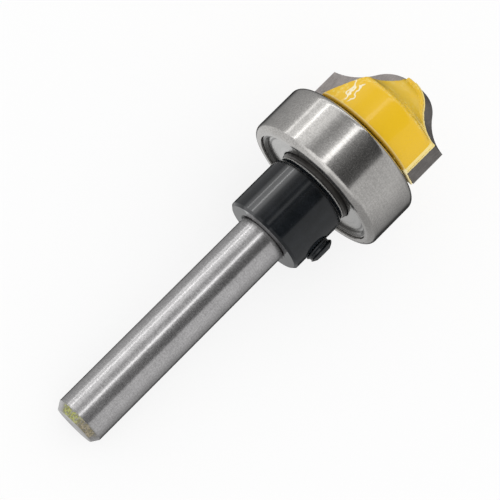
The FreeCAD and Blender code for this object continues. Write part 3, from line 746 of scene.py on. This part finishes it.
# %% The set screw
SCREW_STATION = 34.388
SCREW_ANGLE = math.radians(271.0)
SHANK_RADIUS = 3.175
carrier = bpy.data.objects.new("screw carrier", bpy.data.meshes.new("screw carrier"))
bpy.context.collection.objects.link(carrier)
rule = carrier.modifiers.new("thread", "NODES")
rule.node_group = screw_tree
for socket in screw_tree.interface.items_tree:
    if socket.name == "Material":
        rule[socket.identifier] = black_steel
screw_mesh = evaluated(carrier, "threaded_set_screw")
bpy.data.objects.remove(carrier)
outwards = Vector((math.cos(SCREW_ANGLE), math.sin(SCREW_ANGLE), 0.0))
sideways = Vector((0.0, 0.0, 1.0))
screw_place = (Matrix.Translation(outwards * SHANK_RADIUS + sideways * SCREW_STATION)
               @ Matrix((sideways.cross(outwards), sideways, outwards)).transposed().to_4x4())
screw_mesh.transform(BIT @ Matrix.Scale(MM, 4) @ screw_place)
set_screw = bpy.data.objects.new("threaded_set_screw", screw_mesh)
bpy.context.collection.objects.link(set_screw)
set_screw.data.shade_smooth()
set_screw.data.set_sharp_from_angle(angle=math.radians(35))
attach(set_screw, "set_screw")
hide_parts("set_screw")
print("set screw faces:", len(screw_mesh.polygons))

# %% [markdown]
# The plates are held by silver solder. A little of it stands along the seam between each plate and the
# wall behind it, and the paint has run over it. The seam is the cutting profile, moved back by the
# plate's thickness and in by its clearance. A bead along a line follows a rule, so Geometry Nodes sweep
# a small circle along that line and let a fixed noise swell and thin it.


# %% The rule of the bead
def bead_tree():
    """Geometry Nodes tree of an uneven round bead along a curve."""
    tree = bpy.data.node_groups.new("uneven bead", "GeometryNodeTree")
    tree.interface.new_socket(name="Seam", in_out="INPUT", socket_type="NodeSocketGeometry")
    for name, value in (("Radius", 0.1), ("Spacing", 0.06), ("Unevenness", 0.12), ("Lump Scale", 2.6),
                        ("Seed", 4.0)):
        socket = tree.interface.new_socket(name=name, in_out="INPUT", socket_type="NodeSocketFloat")
        socket.default_value = value
    tree.interface.new_socket(name="Material", in_out="INPUT", socket_type="NodeSocketMaterial")
    tree.interface.new_socket(name="Geometry", in_out="OUTPUT", socket_type="NodeSocketGeometry")
    given = tree.nodes.new("NodeGroupInput").outputs
    ends = tree.nodes.new("NodeGroupOutput")
    even = add(tree, "GeometryNodeResampleCurve", mode="LENGTH", Length=given["Spacing"])
    tree.links.new(given["Seam"], even.inputs["Curve"])
    ring = add(tree, "GeometryNodeCurvePrimitiveCircle", Resolution=10, Radius=given["Radius"])
    swept = tree.nodes.new("GeometryNodeCurveToMesh")
    tree.links.new(even.outputs[0], swept.inputs["Curve"])
    tree.links.new(ring.outputs[0], swept.inputs["Profile Curve"])
    swept.inputs["Fill Caps"].default_value = True
    lumps = tree.nodes.new("ShaderNodeTexNoise")
    lumps.noise_dimensions = "4D"
    tree.links.new(given["Seed"], lumps.inputs["W"])
    tree.links.new(given["Lump Scale"], lumps.inputs["Scale"])
    swell = math_node(tree, "MULTIPLY", math_node(tree, "SUBTRACT", lumps.outputs[0], 0.6),
                      given["Unevenness"])
    outwards = tree.nodes.new("GeometryNodeInputNormal").outputs[0]
    push = add(tree, "ShaderNodeVectorMath", operation="SCALE", Scale=swell)
    tree.links.new(outwards, push.inputs[0])
    moved = tree.nodes.new("GeometryNodeSetPosition")
    tree.links.new(swept.outputs[0], moved.inputs["Geometry"])
    tree.links.new(push.outputs[0], moved.inputs["Offset"])
    real = tree.nodes.new("GeometryNodeRealizeInstances")
    tree.links.new(moved.outputs[0], real.inputs[0])
    dressed = tree.nodes.new("GeometryNodeSetMaterial")
    tree.links.new(real.outputs[0], dressed.inputs["Geometry"])
    tree.links.new(given["Material"], dressed.inputs["Material"])
    tree.links.new(dressed.outputs[0], ends.inputs[0])
    return tree


seam_tree = bead_tree()
print("bead inputs:", [item.name for item in seam_tree.interface.items_tree])

# %% The seams behind the plates
CUT_RADIUS = 8.75
SEAM_START = 46.95
SHOULDER = 51.802
NOSE = Vector((0.91, 52.17))
NOSE_RADIUS = 4.37
COVE = Vector((10.244, 58.609))
COVE_RADIUS = 6.97
PLATE = 1.9
INWARD = PLATE * math.tan(math.radians(20.0))
BACKWARD = PLATE * math.tan(math.radians(11.3))


def profile():
    """Cutting profile from the side's foot to the tip, as radius and station."""
    points = [Vector((CUT_RADIUS, SEAM_START)), Vector((CUT_RADIUS, SHOULDER))]
    first = math.atan2(SHOULDER - COVE[1], CUT_RADIUS - COVE[0])
    last = math.radians(-90.0 - 55.4)
    for step in range(1, 25):
        angle = first + (last - first) * step / 24
        points.append(COVE + COVE_RADIUS * Vector((math.cos(angle), math.sin(angle))))
    for step in range(1, 25):
        slope = math.radians(55.4 - 48.4 * step / 24)
        points.append(NOSE + NOSE_RADIUS * Vector((math.sin(slope), math.cos(slope))))
    return points


def seam(number, turn):
    """Bead along the seam of one plate, as a curve in millimetres that the rule sweeps."""
    outward = Vector((math.cos(turn), math.sin(turn), 0.0))
    deeper = Vector((math.sin(turn), -math.cos(turn), 0.0))
    line = bpy.data.curves.new("seam line", "CURVE")
    line.dimensions = "3D"
    spline = line.splines.new("POLY")
    points = profile()
    spline.points.add(len(points) - 1)
    for target, (radius, station) in zip(spline.points, points):
        where = outward * (radius - INWARD) + deeper * PLATE + Vector((0, 0, station - BACKWARD))
        target.co = (*where, 1.0)
    carrier = bpy.data.objects.new("seam carrier", line)
    bpy.context.collection.objects.link(carrier)
    rule = carrier.modifiers.new("bead", "NODES")
    rule.node_group = seam_tree
    for socket in seam_tree.interface.items_tree:
        if socket.name == "Material":
            rule[socket.identifier] = paint
        if socket.name == "Seed":
            rule[socket.identifier] = 4.0 + number
    mesh = evaluated(carrier, "seam_bead_%d" % number)
    bpy.data.objects.remove(carrier)
    mesh.transform(BIT @ Matrix.Scale(MM, 4))
    bead = bpy.data.objects.new("seam_bead_%d" % number, mesh)
    bpy.context.collection.objects.link(bead)
    mesh.shade_smooth()
    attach(bead, "cutter")
    return bead


for number, turn in enumerate((WING_TURN, WING_TURN + math.pi), start=1):
    bead = seam(number, turn)
    print(bead.name, "faces:", len(bead.data.polygons))

# %% [markdown]
# A photograph of bright metal is a photograph of the studio round it. The bands on the shank and the
# bearing are strip lights and dark gaps, stretched along the axis. Here the world carries those
# strips by direction round the bit's axis, for glossy rays only. All other light is plain and even,
# and the floor lets glossy rays pass, so that the metal shows the strips below it as well.

# %% Studio light
STRIPS = [(-180, 0.02), (-156, 0.05), (-146, 0.30), (-118, 0.42), (-103, 0.48), (-93, 0.58),
          (-89, 0.7), (-88, 2.8), (-85.5, 0.8), (-78, 1.0), (-72, 1.0), (-70.5, 3.7), (-68, 0.95),
          (-58, 1.0), (-50, 0.85), (-44, 0.50), (-36, 0.34), (-31, 0.45), (-24, 0.55),
          (-19, 0.8), (-17, 2.0), (-12, 2.0), (-10, 0.42), (0, 0.2), (12, 0.09),
          (25, 0.07), (35, 0.13), (38.5, 0.58), (80, 0.66), (106, 0.48), (140, 0.26),
          (152, 0.04)]
BRIGHTEST = 4.5


def studio_world():
    """World of strip lights for gloss, and of even white light for everything else."""
    world = bpy.data.worlds.new("studio")
    world.use_nodes = True
    world.cycles.sampling_method = "NONE"
    tree = world.node_tree
    tree.nodes.clear()
    ends = tree.nodes.new("ShaderNodeOutputWorld")
    towards = tree.nodes.new("ShaderNodeTexCoord").outputs["Generated"]
    across = vector_node(tree, "DOT_PRODUCT", towards, SIDE).outputs["Value"]
    above = vector_node(tree, "DOT_PRODUCT", towards, UP).outputs["Value"]
    ahead = vector_node(tree, "DOT_PRODUCT", towards, AXIS).outputs["Value"]
    turn = math_node(tree, "ARCTAN2", across, above)
    share = math_node(tree, "MULTIPLY_ADD", turn, 0.5 / math.pi, 0.5)
    ramp = tree.nodes.new("ShaderNodeValToRGB")
    ramp.color_ramp.interpolation = "LINEAR"
    stops = ramp.color_ramp.elements
    while len(stops) < len(STRIPS):
        stops.new(0.5)
    for stop, (angle, level) in zip(stops, STRIPS):
        stop.position = angle / 360 + 0.5
        stop.color = grey(level / BRIGHTEST)
    tree.links.new(share, ramp.inputs[0])
    strips = math_node(tree, "MULTIPLY", ramp.outputs[0], BRIGHTEST)
    rear = math_node(tree, "MULTIPLY_ADD", smooth_step(tree, above, 0.3, 0.9), 0.45, 0.72)
    rear = math_node(tree, "SUBTRACT", rear, math_node(
        tree, "MULTIPLY", smooth_step(tree, across, -0.03, 0.05), 0.32))
    behind = smooth_step(tree, ahead, 0.04, -0.12)
    level = math_node(tree, "ADD", math_node(tree, "MULTIPLY", strips,
                                             math_node(tree, "SUBTRACT", 1.0, behind)),
                      math_node(tree, "MULTIPLY", behind, rear))
    rays = tree.nodes.new("ShaderNodeLightPath").outputs
    gloss = add(tree, "ShaderNodeBackground", Color=level, Strength=1.0)
    even = add(tree, "ShaderNodeBackground", Color=grey(1.0), Strength=1.0)
    mixed = tree.nodes.new("ShaderNodeMixShader")
    tree.links.new(rays["Is Glossy Ray"], mixed.inputs[0])
    tree.links.new(even.outputs[0], mixed.inputs[1])
    tree.links.new(gloss.outputs[0], mixed.inputs[2])
    tree.links.new(mixed.outputs[0], ends.inputs["Surface"])
    return world


bpy.context.scene.world = studio_world()
bpy.context.scene.view_settings.view_transform = "Standard"
print("studio strips:", len(STRIPS))

# %% [markdown]
# The floor is a plain white sheet. It keeps the soft shadow under the bit, and nothing on it moves.


# %% Floor
def white_floor():
    """Wide white sheet that glossy rays pass through, with a pale shadow."""
    data = bpy.data.meshes.new("floor")
    data.from_pydata([(-2, -2, 0), (2, -2, 0), (2, 2, 0), (-2, 2, 0)], [], [(0, 1, 2, 3)])
    material = bpy.data.materials.new("white sheet")
    material.use_nodes = True
    tree = material.node_tree
    sheet = tree.nodes["Principled BSDF"]
    sheet.inputs["Base Color"].default_value = grey(0.95)
    sheet.inputs["Roughness"].default_value = 0.9
    sheet.inputs["Specular IOR Level"].default_value = 0.0
    rays = tree.nodes.new("ShaderNodeLightPath").outputs
    white = add(tree, "ShaderNodeEmission", Color=grey(1.0), Strength=1.0)
    seen = tree.nodes.new("ShaderNodeMixShader")
    tree.links.new(math_node(tree, "MULTIPLY", rays["Is Camera Ray"], 0.8), seen.inputs[0])
    tree.links.new(sheet.outputs[0], seen.inputs[1])
    tree.links.new(white.outputs[0], seen.inputs[2])
    gone = tree.nodes.new("ShaderNodeBsdfTransparent")
    mixed = tree.nodes.new("ShaderNodeMixShader")
    tree.links.new(rays["Is Glossy Ray"], mixed.inputs[0])
    tree.links.new(seen.outputs[0], mixed.inputs[1])
    tree.links.new(gone.outputs[0], mixed.inputs[2])
    tree.links.new(mixed.outputs[0], tree.nodes["Material Output"].inputs["Surface"])
    item = bpy.data.objects.new("floor", data)
    item.data.materials.append(material)
    bpy.context.collection.objects.link(item)
    return item


floor = white_floor()
print("floor made")
